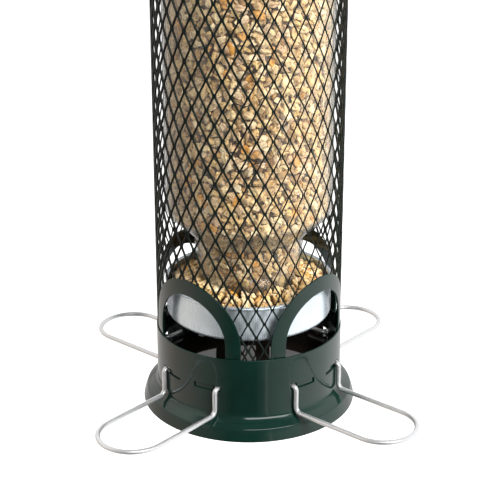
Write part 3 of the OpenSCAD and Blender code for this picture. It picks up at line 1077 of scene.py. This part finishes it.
@dataclass
class BaseCup:
    """Pressed cup with a stepped flange and two slots for each perch."""

    radius: float = 58.0 * MM
    top: float = 50.4 * MM
    cove_z: float = 15.0 * MM
    flange_r: float = 67.1 * MM
    flange_h: float = 7.4 * MM
    wall: float = 1.0 * MM
    slot_near: float = 5.8 * MM
    slot_far: float = 23.0 * MM
    slot_low: float = 28.2 * MM
    slot_high: float = 31.8 * MM
    tab_end: float = 18.4 * MM
    tab_lap: float = 0.7 * MM
    tab_gap: float = 0.02 * MM
    tab_steps: int = 5
    edge_round: float = 0.22 * MM
    step: float = 2.5

    def heights(self) -> Profile:
        """The cup's outer face, from its top edge down to the flange's foot."""
        wall = [self.top, 47.0 * MM, 42.0 * MM, 37.0 * MM, self.slot_high, 30.0 * MM,
                self.slot_low, 24.0 * MM, 20.0 * MM, 17.0 * MM]
        cove_r = 5.6 * MM
        cove = arc((self.radius + cove_r, self.cove_z), cove_r, 180.0, 252.0, 7)
        edge_r = 1.5 * MM
        shelf_r = self.flange_r - 2.0 * MM
        edge = arc((shelf_r - edge_r, self.flange_h + 0.9 * MM - edge_r), edge_r, 78.0, 12.0, 5)
        skirt = [(self.flange_r - 0.9 * MM, 4.0 * MM), (self.flange_r - 0.3 * MM, 1.7 * MM),
                 (self.flange_r - 0.03 * MM, 0.6 * MM), (self.flange_r - 0.01 * MM, 0.06 * MM)]
        return [(self.radius, z) for z in wall] + cove + edge + skirt

    def turns(self) -> list[float]:
        """Angles of the wall's columns, with one on each slot's end."""
        ends = [math.degrees(math.asin(x / self.radius)) for x in (self.slot_near, self.slot_far)]
        marks = sorted(
            side.value + sign * end for side in Side for sign in (-1, 1) for end in ends
        )
        marks.append(marks[0] + 360.0)
        turns: list[float] = []
        for low, high in zip(marks, marks[1:]):
            count = max(1, round((high - low) / self.step))
            turns += [low + (high - low) * k / count for k in range(count)]
        return turns

    def in_slot(self, turn: float, z: float) -> bool:
        """Tells whether a patch of the wall belongs to a slot."""
        off = abs((turn + 45.0) % 90.0 - 45.0)
        near, far = (
            math.degrees(math.asin(x / self.radius)) for x in (self.slot_near, self.slot_far)
        )
        return near < off < far and self.slot_low < z < self.slot_high

    def tabs(self) -> tuple[list[tuple[float, float, float]], list[tuple[int, ...]]]:
        """The pressed strips that close each slot from behind, beside its hook."""
        verts: list[tuple[float, float, float]] = []
        faces: list[tuple[int, ...]] = []
        r = self.radius - self.wall - self.tab_gap
        low, high = self.slot_low - self.tab_lap, self.slot_high + self.tab_lap
        for side in Side:
            for sign in (-1, 1):
                start = len(verts)
                for x in np.linspace(self.slot_near - self.tab_lap, self.tab_end, self.tab_steps + 1):
                    a = math.radians(side.value) + sign * math.asin(x / self.radius)
                    verts += [(r * math.sin(a), -r * math.cos(a), z) for z in (low, high)]
                for k in range(start, start + 2 * self.tab_steps, 2):
                    face = (k, k + 2, k + 3, k + 1)
                    faces.append(face if sign > 0 else tuple(reversed(face)))
        return verts, faces

    def build(self) -> bpy.types.Object:
        """Makes the wall, flange and tabs as one sheet, then gives it thickness."""
        profile, turns = self.heights(), self.turns()
        rows = len(profile)
        verts = [
            (r * math.sin(math.radians(t)), -r * math.cos(math.radians(t)), z)
            for t in turns
            for r, z in profile
        ]
        faces = []
        for s, turn in enumerate(turns):
            ahead = turns[(s + 1) % len(turns)] + (360.0 if s + 1 == len(turns) else 0.0)
            near, far = s * rows, ((s + 1) % len(turns)) * rows
            for k in range(rows - 1):
                middle = ((turn + ahead) / 2.0, (profile[k][1] + profile[k + 1][1]) / 2.0)
                if not self.in_slot(*middle):
                    faces.append((near + k, near + k + 1, far + k + 1, far + k))
        tab_verts, tab_faces = self.tabs()
        faces += [tuple(len(verts) + i for i in face) for face in tab_faces]
        verts += tab_verts
        piece = to_object("cup_shell", verts, faces)
        drop_loose(piece)
        face_outwards(piece)
        thicken(piece, self.wall)
        soften(piece, self.edge_round)
        return settle(piece, ENAMEL, Body.SHROUD, "base_cup")


def drop_loose(piece: bpy.types.Object) -> None:
    """Removes vertices that no face uses."""
    work = bmesh.new()
    work.from_mesh(piece.data)
    loose = [v for v in work.verts if not v.link_faces]
    bmesh.ops.delete(work, geom=loose, context="VERTS")
    work.to_mesh(piece.data)
    work.free()


@dataclass
class Perch:
    """One wire perch, hooked through two slots of the cup and lying on its wall."""

    side: Side
    cup_r: float = 58.0 * MM
    wire_r: float = 1.5 * MM
    wall_gap: float = 0.15 * MM
    straight: float = 0.4 * MM
    half: float = 21.0 * MM
    reach: float = 125.98 * MM
    height: float = 13.0 * MM
    slot_z: float = 30.0 * MM
    hook: float = 2.5 * MM
    knee: float = 4.0 * MM
    hook_end: float = 8.5 * MM
    loop_steps: int = 28
    bend_steps: int = 9
    sides: int = 18

    def half_path(self) -> list[Vector]:
        """The wire's centre line, from its inner end out to the start of the loop's end."""
        leg_y = -math.sqrt((self.cup_r + self.wire_r + self.wall_gap) ** 2 - self.half**2)
        hook_y = leg_y + 2.0 * self.hook + self.straight
        corners = [
            (Vector((self.hook_end, hook_y, self.slot_z)), 0.0),
            (Vector((self.half, hook_y, self.slot_z)), self.hook),
            (Vector((self.half, leg_y, self.slot_z)), self.hook),
            (Vector((self.half, leg_y, self.height)), self.knee),
            (Vector((self.half, self.half - self.reach, self.height)), 0.0),
        ]
        return rounded_path(corners, self.bend_steps)

    def build(self) -> bpy.types.Object:
        """Makes the whole wire and turns it to its side."""
        right = self.half_path()
        left = [Vector((-p.x, p.y, p.z)) for p in reversed(right)]
        centre = Vector((0.0, self.half - self.reach, self.height))
        loop = [
            centre + Vector((math.cos(t), -math.sin(t), 0.0)) * self.half
            for t in (math.pi * k / self.loop_steps for k in range(1, self.loop_steps))
        ]
        name = f"perch_loop_{self.side.name.lower()}"
        piece = wire(name, right + loop + left, self.wire_r, self.sides)
        spin(piece, self.side.value)
        return settle(piece, PERCH_WIRE, Body.SHROUD, f"perch_{self.side.name.lower()}")


# ---------------------------------------------------------------- seed and tube


@dataclass
class SeedTube:
    """Clear tube with a shoulder and a tapering neck."""

    radius: float = 51.0 * MM
    wall: float = 1.2 * MM
    top: float = 330.0 * MM
    shoulder_z: float = 127.0 * MM
    neck_z: float = 111.0 * MM
    neck_r: float = 34.0 * MM
    mouth_r: float = 31.0 * MM
    mouth_z: float = 81.0 * MM
    rows_low: float = 160.0 * MM
    rows_high: float = 300.0 * MM
    rows: int = 8

    def outer(self) -> Profile:
        """The outer face, from the mouth up, with its two bends eased."""
        bends = [
            (Vector((self.mouth_r, 0.0, self.mouth_z)), 0.0),
            (Vector((self.neck_r, 0.0, self.neck_z)), 5.0 * MM),
            (Vector((self.radius, 0.0, self.shoulder_z)), 6.0 * MM),
            (Vector((self.radius, 0.0, self.top)), 0.0),
        ]
        line = rounded_path(bends, 7)
        heights = np.linspace(self.rows_low, self.rows_high, self.rows)
        middle = [Vector((self.radius, 0.0, z)) for z in heights]
        return [(p.x, p.z) for p in line[:-1] + middle + line[-1:]]

    def build(self) -> bpy.types.Object:
        """Makes the tube with its wall's thickness."""
        outer = self.outer()
        inner = [(r - self.wall, z) for r, z in reversed(outer)]
        piece = lathe("tube_body", outer + inner, 128)
        return settle(piece, CLEAR, Body.SEED_UNIT, "seed_tube")


GRAIN_FINENESS = 2


@dataclass(frozen=True)
class Kernel:
    """The shape of one kind of grain."""

    length: float
    width: float
    depth: float
    point: float
    groove: float
    rough: float
    groove_w: float = 0.28
    breaks: int = 4
    break_low: float = 0.42
    break_high: float = 0.85

    def points(self, seed: int) -> np.ndarray:
        """Shapes an icosphere into the grain, its sides broken off flat by chance.

        Args:
            seed: Picks the grain's own unevenness.

        Returns:
            Vertex positions, centred on the grain.
        """
        work = bmesh.new()
        bmesh.ops.create_icosphere(work, subdivisions=GRAIN_FINENESS, radius=1.0)
        rng = np.random.RandomState(seed)
        breaks = [
            (Vector(rng.normal(size=3)).normalized(), rng.uniform(self.break_low, self.break_high))
            for _ in range(self.breaks)
        ]
        shaped = []
        for v in work.verts:
            p = v.co.copy()
            for way, level in breaks:
                p -= way * max(p.dot(way) - level, 0.0)
            taper = 1.0 - self.point * max(p.x, 0.0) ** 1.5
            dent = self.groove * math.exp(-((p.y / self.groove_w) ** 2)) * max(p.z, 0.0)
            lump = 1.0 + self.rough * noise.noise(p * 1.7 + Vector((seed * 3.1, seed * 1.7, 0.0)))
            shaped.append((
                p.x * self.length / 2.0 * lump,
                p.y * taper * self.width / 2.0 * lump,
                (p.z - dent) * taper * self.depth / 2.0 * lump,
            ))
        work.free()
        return np.array(shaped)


KERNELS = (
    Kernel(8.0 * MM, 5.2 * MM, 3.8 * MM, 0.45, 0.35, 0.35),
    Kernel(7.3 * MM, 5.6 * MM, 4.3 * MM, 0.25, 0.45, 0.45),
    Kernel(6.5 * MM, 5.4 * MM, 4.6 * MM, 0.15, 0.20, 0.60),
    Kernel(8.5 * MM, 4.7 * MM, 3.6 * MM, 0.60, 0.50, 0.30),
    Kernel(5.9 * MM, 5.3 * MM, 3.5 * MM, 0.10, 0.10, 0.75),
)


def grain_faces() -> np.ndarray:
    """Returns the vertex indices of one grain's faces."""
    work = bmesh.new()
    bmesh.ops.create_icosphere(work, subdivisions=GRAIN_FINENESS, radius=1.0)
    faces = np.array([[v.index for v in f.verts] for f in work.faces])
    work.free()
    return faces


@dataclass
class SeedSkinLayer:
    """A layer of grains pressed against the inside of a turned surface.

    The surface is a profile of radius and height. Its outward side is on the right
    of the profile's direction of travel, seen with the axis on the left.
    """

    name: str
    profile: Profile
    replaces: tuple[str, ...]
    seed: int
    row: float = 4.0 * MM
    pitch: float = 4.8 * MM
    gap: float = 0.25 * MM
    sink: float = 2.4 * MM
    lean: float = 0.55
    stray_around: float = 0.28
    stray_along: float = 0.3
    casts: int = 3
    upright: float = 0.72
    smallest: float = 0.90
    largest: float = 1.22

    def rows(self) -> list[tuple[float, float, float, float]]:
        """Steps along the profile: radius, height and the outward normal."""
        steps = []
        left = self.row / 2.0
        for (r0, z0), (r1, z1) in zip(self.profile, self.profile[1:]):
            length = math.hypot(r1 - r0, z1 - z0)
            normal = ((z1 - z0) / length, (r0 - r1) / length)
            while left <= length:
                share = left / length
                steps.append((r0 + (r1 - r0) * share, z0 + (z1 - z0) * share, *normal))
                left += self.row
            left -= length
        return steps

    def frames(self, rng: np.random.RandomState) -> tuple[np.ndarray, np.ndarray]:
        """Places every grain.

        Args:
            rng: The layer's own seeded source of chance.

        Returns:
            Surface points and, for each, its rows of tangent, up and outward axes.
        """
        points, axes = [], []
        for n, (r, z, nr, nz) in enumerate(self.rows()):
            count = max(1, round(TURN * r / self.pitch))
            for k in range(count):
                stray = rng.uniform(-self.stray_around, self.stray_around)
                a = TURN * (k + 0.5 * (n % 2) + stray) / count
                slip = rng.uniform(-self.stray_along, self.stray_along) * self.row
                around = np.array([-math.sin(a), math.cos(a), 0.0])
                outward = np.array([nr * math.cos(a), nr * math.sin(a), nz])
                along = np.cross(outward, around)
                points.append(np.array([r * math.cos(a), r * math.sin(a), z]) + along * slip)
                axes.append(np.array([around, along, outward]))
        return np.array(points), np.array(axes)

    def build(self) -> bpy.types.Object:
        """Makes the layer as one piece."""
        rng = np.random.RandomState(self.seed)
        points, axes = self.frames(rng)
        kinds = KERNELS * self.casts
        shapes = [kernel.points(k + 1) for k, kernel in enumerate(kinds)]
        faces = grain_faces()
        count, size = len(points), len(shapes[0])
        kind = rng.choice(len(shapes), count)
        verts = np.empty((count, size, 3))
        for n in range(count):
            spin_by, tip, roll = rng.uniform(0, TURN), *rng.normal(0.0, self.lean, 2)
            flip = 1.0 if rng.rand() < self.upright else -1.0
            turn = (
                Matrix.Rotation(tip, 3, "X")
                @ Matrix.Rotation(roll, 3, "Y")
                @ Matrix.Rotation(spin_by, 3, "Z")
            )
            size_by = rng.uniform(self.smallest, self.largest)
            grain = shapes[kind[n]] * size_by * np.array([1.0, 1.0, flip])
            local = grain @ np.array(turn).T
            placed = local @ axes[n]
            reach = (placed @ axes[n][2]).max()
            depth = reach + self.gap + self.sink * rng.rand() ** 2
            verts[n] = points[n] + placed - axes[n][2] * depth
        index = faces[None, :, :] + (np.arange(count) * size)[:, None, None]
        piece = to_object(self.name, verts.reshape(-1, 3), index.reshape(-1, 3), smooth=False)
        return settle(piece, SEED, Body.SEED_UNIT, *self.replaces)


@dataclass
class SeedLoad:
    """All the seed: grains behind the tube's wall, on the heap and in the tray."""

    tube: SeedTube
    fill_z: float = 306.0 * MM
    split_z: float = 212.0 * MM
    tray_inner: float = 50.2 * MM
    rim_z: float = 82.2 * MM
    mouth_gap: float = 3.0 * MM
    neck_ease: float = 0.3 * MM
    crown_r: float = 4.0 * MM
    crown_rise: float = 6.0 * MM
    heap_in: float = 1.6 * MM
    heap_drop: float = 3.6 * MM
    heap_top: tuple[float, float] = (31.4 * MM, 85.4 * MM)
    core_depth: float = 4.4 * MM

    def wall(self) -> Profile:
        """The tube's inner face from the mouth to the fill line, going up."""
        inner = [(r - self.tube.wall, z) for r, z in self.tube.outer()]
        below = [p for p in inner if p[1] < self.fill_z]
        return below + [(inner[-1][0], self.fill_z)]

    def shrink(self, profile: Profile, depth: float) -> Profile:
        """Moves a profile in towards the axis."""
        return [(max(r - depth, 0.0), z) for r, z in profile]

    def build(self) -> list[bpy.types.Object]:
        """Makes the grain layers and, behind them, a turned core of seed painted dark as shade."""
        wall = self.wall()
        start = self.tube.mouth_z + self.mouth_gap
        neck = self.tube.mouth_r + self.neck_ease - self.tube.wall
        low = [(neck, start)]
        low += [p for p in wall if start < p[1] < self.split_z]
        low += [(wall[-1][0], self.split_z)]
        high = [(wall[-1][0], self.split_z), (wall[-1][0], self.fill_z)]
        crown = [(wall[-1][0], self.fill_z), (self.crown_r, self.fill_z + self.crown_rise)]
        heap = [(self.tray_inner - self.heap_in, self.rim_z - self.heap_drop), self.heap_top]
        pieces = [
            SeedSkinLayer("seed_lower", low, ("seed_fill",), 11).build(),
            SeedSkinLayer("seed_upper", high, (), 12).build(),
            SeedSkinLayer("seed_crown", crown, (), 13, lean=0.9).build(),
            SeedSkinLayer("seed_heap", heap, ("seed_bed",), 14, row=3.7 * MM, pitch=4.6 * MM,
                          gap=-0.6 * MM, sink=1.8 * MM, lean=0.9).build(),
        ]
        # Painted shade: a dark turned body behind the grain layers stands for seed lying in shade.
        core = [(3.0 * MM, 61.0 * MM), (47.0 * MM, 61.0 * MM), (49.6 * MM, 63.6 * MM),
                (49.6 * MM, 75.0 * MM), (27.0 * MM, 81.0 * MM)]
        core += self.shrink([p for p in wall if p[1] > start], self.core_depth)
        core += [(44.5 * MM, self.fill_z - 1.5 * MM), (3.0 * MM, self.fill_z + 2.5 * MM)]
        body = lathe("seed_core", core, 96)
        pieces.append(settle(body, SEED_GAPS, Body.SEED_UNIT))
        return pieces


@dataclass
class LiftSpring:
    """Compression spring round the rod, between its washer and the shroud's yoke."""

    radius: float = 8.0 * MM
    wire_r: float = 0.8 * MM
    foot: float = 338.2 * MM
    head: float = 358.2 * MM
    turns: float = 5.0
    per_turn: int = 36
    sides: int = 12
    closed: float = 0.55

    def build(self) -> bpy.types.Object:
        """Makes the coil, its end turns closer together."""
        rise = self.head - self.foot - 2.0 * self.wire_r
        path = []
        steps = int(self.turns * self.per_turn)
        for k in range(steps + 1):
            share = k / steps
            eased = share * share * (3.0 - 2.0 * share)
            turn = TURN * self.turns * share
            z = self.foot + self.wire_r + rise * (self.closed * eased + (1.0 - self.closed) * share)
            path.append(Vector((self.radius * math.cos(turn), self.radius * math.sin(turn), z)))
        piece = wire("spring_coil", path, self.wire_r, self.sides)
        COIL_WIRE.dress(piece)
        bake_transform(piece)
        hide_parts("lift_spring")
        LOG.info("%s: %d faces, stretched by the shroud", piece.name, len(piece.data.polygons))
        return piece


# ----------------------------------------------------------------------- studio


def outlook(bearing: float, height: float) -> Vector:
    """Returns the direction at a bearing and a height, both in degrees."""
    turn, up = math.radians(bearing), math.radians(height)
    return Vector((math.sin(turn) * math.cos(up), -math.cos(turn) * math.cos(up), math.sin(up)))


@dataclass(frozen=True)
class Softbox:
    """One area light, placed round the feeder from the camera's own bearing."""

    name: str
    bearing: float
    height: float
    distance: float
    width: float
    tall: float
    power: float
    colour: tuple[float, float, float] = (1.0, 1.0, 1.0)

    def build(self, camera_bearing: float, aim: Vector) -> None:
        """Makes the light and turns it to the feeder.

        Args:
            camera_bearing: The camera's own bearing, in degrees.
            aim: The point it lights.
        """
        back = outlook(camera_bearing + self.bearing, self.height)
        lamp = bpy.data.lights.new(self.name, "AREA")
        lamp.shape = "RECTANGLE"
        lamp.size, lamp.size_y = self.width, self.tall
        lamp.energy = self.power
        lamp.color = self.colour
        holder = bpy.data.objects.new(self.name, lamp)
        holder.location = aim + back * self.distance
        holder.rotation_euler = back.to_track_quat("Z", "Y").to_euler()
        holder.visible_glossy = False
        bpy.context.scene.collection.objects.link(holder)


class WorldDesk(Desk):
    """The world's node tree, with the same short calls."""

    def __init__(self, name: str) -> None:
        """Starts the scene's world with one background.

        Args:
            name: The world's name.
        """
        world = bpy.data.worlds.new(name)
        bpy.context.scene.world = world
        world.use_nodes = True
        world.cycles.sampling_method = "NONE"
        self.tree = world.node_tree
        self.shader = self.tree.nodes["Background"]

    def along(self, source: bpy.types.NodeSocket, axis: Vector) -> bpy.types.NodeSocket:
        """Gives how far a direction points along an axis.

        Args:
            source: The direction.
            axis: The axis.

        Returns:
            The value output.
        """
        node = self.add("VectorMath", operation="DOT_PRODUCT")
        node.inputs[1].default_value = axis
        self.link(source, node.inputs[0])
        return node.outputs["Value"]


@dataclass(frozen=True)
class Surround:
    """What polished parts mirror: brightness and warmth by bearing from the camera.

    Bearings are in degrees, to the right of the camera. Each stop has a bearing,
    a brightness and a warmth from zero to one. The bands lie one above the other,
    and each pair of edges is the range of upward share over which one gives way to
    the next. Light that isn't mirrored sees only the even ambient.
    """

    strength: float = 6.0
    ambient: float = 0.42
    below: tuple[tuple[float, float, float], ...] = (
        (-180.0, 0.60, 0.0), (-140.0, 0.70, 0.3), (-112.0, 0.75, 0.7), (-76.0, 0.70, 0.7),
        (-56.0, 0.48, 0.5), (-38.0, 0.30, 0.2), (-20.0, 0.07, 0.0), (8.0, 0.07, 0.0),
        (20.0, 0.32, 0.0), (22.0, 1.00, 0.0), (24.0, 0.48, 0.0), (50.0, 0.80, 0.0),
        (70.0, 1.10, 0.0), (120.0, 1.10, 0.0), (150.0, 0.80, 0.0), (180.0, 0.60, 0.0),
    )
    above: tuple[tuple[float, float, float], ...] = (
        (-180.0, 1.00, 0.0), (-120.0, 1.00, 0.3), (-62.0, 0.90, 0.3), (-42.0, 0.15, 0.0),
        (40.0, 0.15, 0.0), (60.0, 0.60, 0.0), (120.0, 1.00, 0.0), (180.0, 1.00, 0.0),
    )
    lamps: tuple[tuple[float, float, float], ...] = (
        (-180.0, 1.00, 0.0), (-120.0, 1.00, 0.3), (-62.0, 0.90, 0.3), (-42.0, 0.15, 0.0),
        (-6.0, 0.15, 0.0), (-2.0, 5.60, 0.0), (50.0, 5.60, 0.0), (54.0, 0.40, 0.0),
        (80.0, 0.60, 0.0), (120.0, 1.00, 0.0), (180.0, 1.00, 0.0),
    )
    zenith: float = 0.15
    edges: tuple[tuple[float, float], ...] = ((0.10, 0.21), (0.40, 0.44), (0.68, 0.72), (0.84, 0.92))

    def stops(
        self, band: tuple[tuple[float, float, float], ...]
    ) -> list[tuple[float, Colour]]:
        """Turns a band's stops into those of a colour ramp."""
        full = []
        for bearing, bright, warm in band:
            level = bright / self.strength
            colour = rgb(level, level * (1.0 - 0.15 * warm), level * (1.0 - 0.28 * warm))
            full.append((bearing / 360.0 + 0.5, colour))
        return full

    def build(self, camera_bearing: float) -> None:
        """Lays out the world's nodes.

        Args:
            camera_bearing: The camera's own bearing, in degrees.
        """
        desk = WorldDesk("surroundings")
        turn = math.radians(camera_bearing)
        facing = desk.add("TexCoord").outputs["Generated"]
        toward = desk.along(facing, Vector((math.sin(turn), -math.cos(turn), 0.0)))
        right = desk.along(facing, Vector((math.cos(turn), math.sin(turn), 0.0)))
        height = desk.along(facing, Vector((0.0, 0.0, 1.0)))
        bearing = desk.math("MULTIPLY_ADD", desk.math("ARCTAN2", right, toward), 1.0 / TURN, 0.5)
        top = self.zenith / self.strength
        low, high, lit = (
            desk.ramp(bearing, self.stops(band)) for band in (self.below, self.above, self.lamps)
        )
        whole = low
        for (start, end), band in zip(self.edges, (high, lit, high, rgb(top, top, top))):
            whole = desk.blend(desk.span(height, 0.0, 1.0, start, end), whole, band)
        soft = self.ambient / self.strength
        is_gloss = desk.add("LightPath").outputs["Is Glossy Ray"]
        desk.feed("Color", desk.blend(is_gloss, rgb(soft, soft, soft), whole))
        desk.shader.inputs["Strength"].default_value = self.strength


@dataclass
class Studio:
    """Camera, pale room and lights."""

    bearing: float = 40.7
    elevation: float = 22.5
    distance: float = 0.938
    aim_z: float = 98.1 * MM
    lens: float = 109.1
    sensor: float = 36.0
    shift_x: float = 0.0024
    nearest: float = 0.05
    farthest: float = 60.0
    floor_z: float = -1.0
    room_r: float = 7.0
    room_bend: float = 2.0
    room_top: float = 4.5
    lamp_aim_z: float = 120.0 * MM
    boxes: tuple[Softbox, ...] = (
        Softbox("key_right", 42.0, 32.0, 1.9, 0.8, 1.0, 104.0, (1.0, 0.99, 0.97)),
        Softbox("fill_left", -78.0, 22.0, 2.2, 1.0, 1.6, 22.0, (1.0, 0.93, 0.86)),
        Softbox("overhead", 10.0, 80.0, 2.0, 1.2, 1.2, 20.0),
    )

    def camera(self) -> None:
        """Sets the camera, level and looking down at the ports."""
        back = outlook(self.bearing, self.elevation)
        lens = bpy.data.cameras.new("camera")
        lens.lens = self.lens
        lens.sensor_width = self.sensor
        lens.shift_x = self.shift_x
        lens.clip_start, lens.clip_end = self.nearest, self.farthest
        holder = bpy.data.objects.new("camera", lens)
        holder.location = Vector((0.0, 0.0, self.aim_z)) + back * self.distance
        holder.rotation_euler = back.to_track_quat("Z", "Y").to_euler()
        bpy.context.scene.collection.objects.link(holder)
        bpy.context.scene.camera = holder

    def room(self) -> None:
        """Makes the pale floor, swept up into a pale wall all round."""
        bend = self.room_bend
        profile = [(0.02, 0.0), (2.0, 0.0), (self.room_r - bend, 0.0)]
        profile += arc((self.room_r - bend, bend), bend, -80.0, 0.0, 9)
        profile += [(self.room_r, self.room_top)]
        profile = [(r, z + self.floor_z) for r, z in profile]
        room = lathe("pale_room", profile, 64, closed=False)
        desk = Desk("pale_floor")
        grain = desk.noise(desk.place(), 3.0, 2.0)
        pale = [(0.3, rgb(0.86, 0.86, 0.86)), (0.7, rgb(0.90, 0.90, 0.90))]
        desk.feed("Base Color", desk.ramp(grain, pale))
        desk.set(roughness=0.9, emission_color=rgb(1.0, 1.0, 1.0), emission_strength=0.75)
        room.data.materials.append(desk.material)
        room.visible_glossy = False
        room.visible_diffuse = False

    def build(self) -> None:
        """Builds the whole studio."""
        self.camera()
        self.room()
        Surround().build(self.bearing)
        for box in self.boxes:
            box.build(self.bearing, Vector((0.0, 0.0, self.lamp_aim_z)))
        bpy.context.scene.view_settings.view_transform = "Standard"


# ------------------------------------------------------------------------- main


@dataclass
class Feeder:
    """The whole feeder on its frame."""

    frame: dict[str, Any]
    port: Port = field(default_factory=Port)
    tube: SeedTube = field(default_factory=SeedTube)
    carried: dict[str, Finish] = field(default_factory=lambda: {
        "hanger_wire": BAIL_WIRE, "hanger_nuts": ZINC, "crossbar": ZINC, "centre_rod": ZINC,
        "rod_nuts": ZINC, "tube_collar": PLASTIC, "tube_foot": PLASTIC,
        "seed_tray": TRAY_METAL, "tray_washer": ZINC, "tray_nut": ZINC,
        "spring_washer": ZINC, "adjusting_nut": ZINC, "top_ring": ENAMEL,
        "base_floor": FLOOR_PLASTIC, "lift_yoke": ENAMEL, "yoke_bush": PLASTIC,
        "yoke_rivets": ZINC, "cap_dome": ENAMEL, "cap_sleeves": PLASTIC,
    })

    def build(self) -> None:
        """Builds the pieces and dresses the frame nodes that stay."""
        ExpandedMesh(self.port).build()
        for side in Side:
            PortFrame(self.port, side).build()
            Perch(side).build()
        BaseCup().build()
        self.tube.build()
        SeedLoad(self.tube).build()
        LiftSpring().build()
        for name, finish in self.carried.items():
            finish.redress(self.frame["nodes"][name])
            LOG.info("%s: frame node, %s", name, finish.title)


def main() -> None:
    """Builds the feeder and its studio, piece by piece."""
    logging.basicConfig(level=logging.INFO, format="%(name)s: %(message)s")
    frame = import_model()
    Feeder(frame).build()
    Studio().build()


if __name__ == "__main__":
    main()
